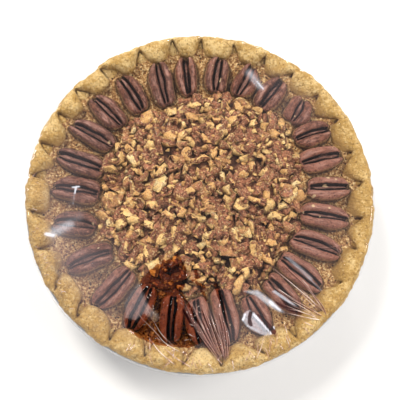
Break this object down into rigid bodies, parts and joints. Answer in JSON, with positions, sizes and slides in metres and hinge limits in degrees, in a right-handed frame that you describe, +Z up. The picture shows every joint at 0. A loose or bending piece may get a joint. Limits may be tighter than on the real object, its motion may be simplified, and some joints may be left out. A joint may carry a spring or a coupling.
{
  "type": "pecan pie",
  "caption": "Round pecan pie with a crimped crust, a ring of pecan halves and a bed of chopped pecans, baked in a foil tin and wrapped in clear film.",
  "frame": {"origin": "centre of the film's flat underside, on the pie's axis", "axes": "+Z up along the pie's axis; +Y towards the far edge of the pie, +X to the right"},
  "size_m": [0.2564, 0.2564, 0.0457],
  "materials": {
    "tin_foil": "satin foil",
    "baked_crust": "dry baked pastry",
    "syrup_filling": "set syrup, slightly glossy",
    "chopped_pecan": "glazed chopped nuts",
    "pecan_half": "glazed nut skin",
    "clear_film": "clear glossy stretch film"
  },
  "bodies": {
    "root": {"tin": "tin_foil", "crust": "baked_crust", "filling": "syrup_filling", "chopped_pecans": "chopped_pecan", "pecan_half_01": "pecan_half", "pecan_half_02": "pecan_half", "pecan_half_03": "pecan_half", "pecan_half_04": "pecan_half", "pecan_half_05": "pecan_half", "pecan_half_06": "pecan_half", "pecan_half_07": "pecan_half", "pecan_half_08": "pecan_half", "pecan_half_09": "pecan_half", "pecan_half_10": "pecan_half", "pecan_half_11": "pecan_half", "pecan_half_12": "pecan_half", "pecan_half_13": "pecan_half", "pecan_half_14": "pecan_half", "pecan_half_15": "pecan_half", "pecan_half_16": "pecan_half", "pecan_half_17": "pecan_half", "pecan_half_18": "pecan_half", "pecan_half_19": "pecan_half", "pecan_half_20": "pecan_half", "pecan_half_21": "pecan_half", "pecan_half_22": "pecan_half", "pecan_half_23": "pecan_half", "pecan_half_24": "pecan_half", "pecan_half_25": "pecan_half", "pecan_half_26": "pecan_half", "film": "clear_film"}
  },
  "joints": []
}
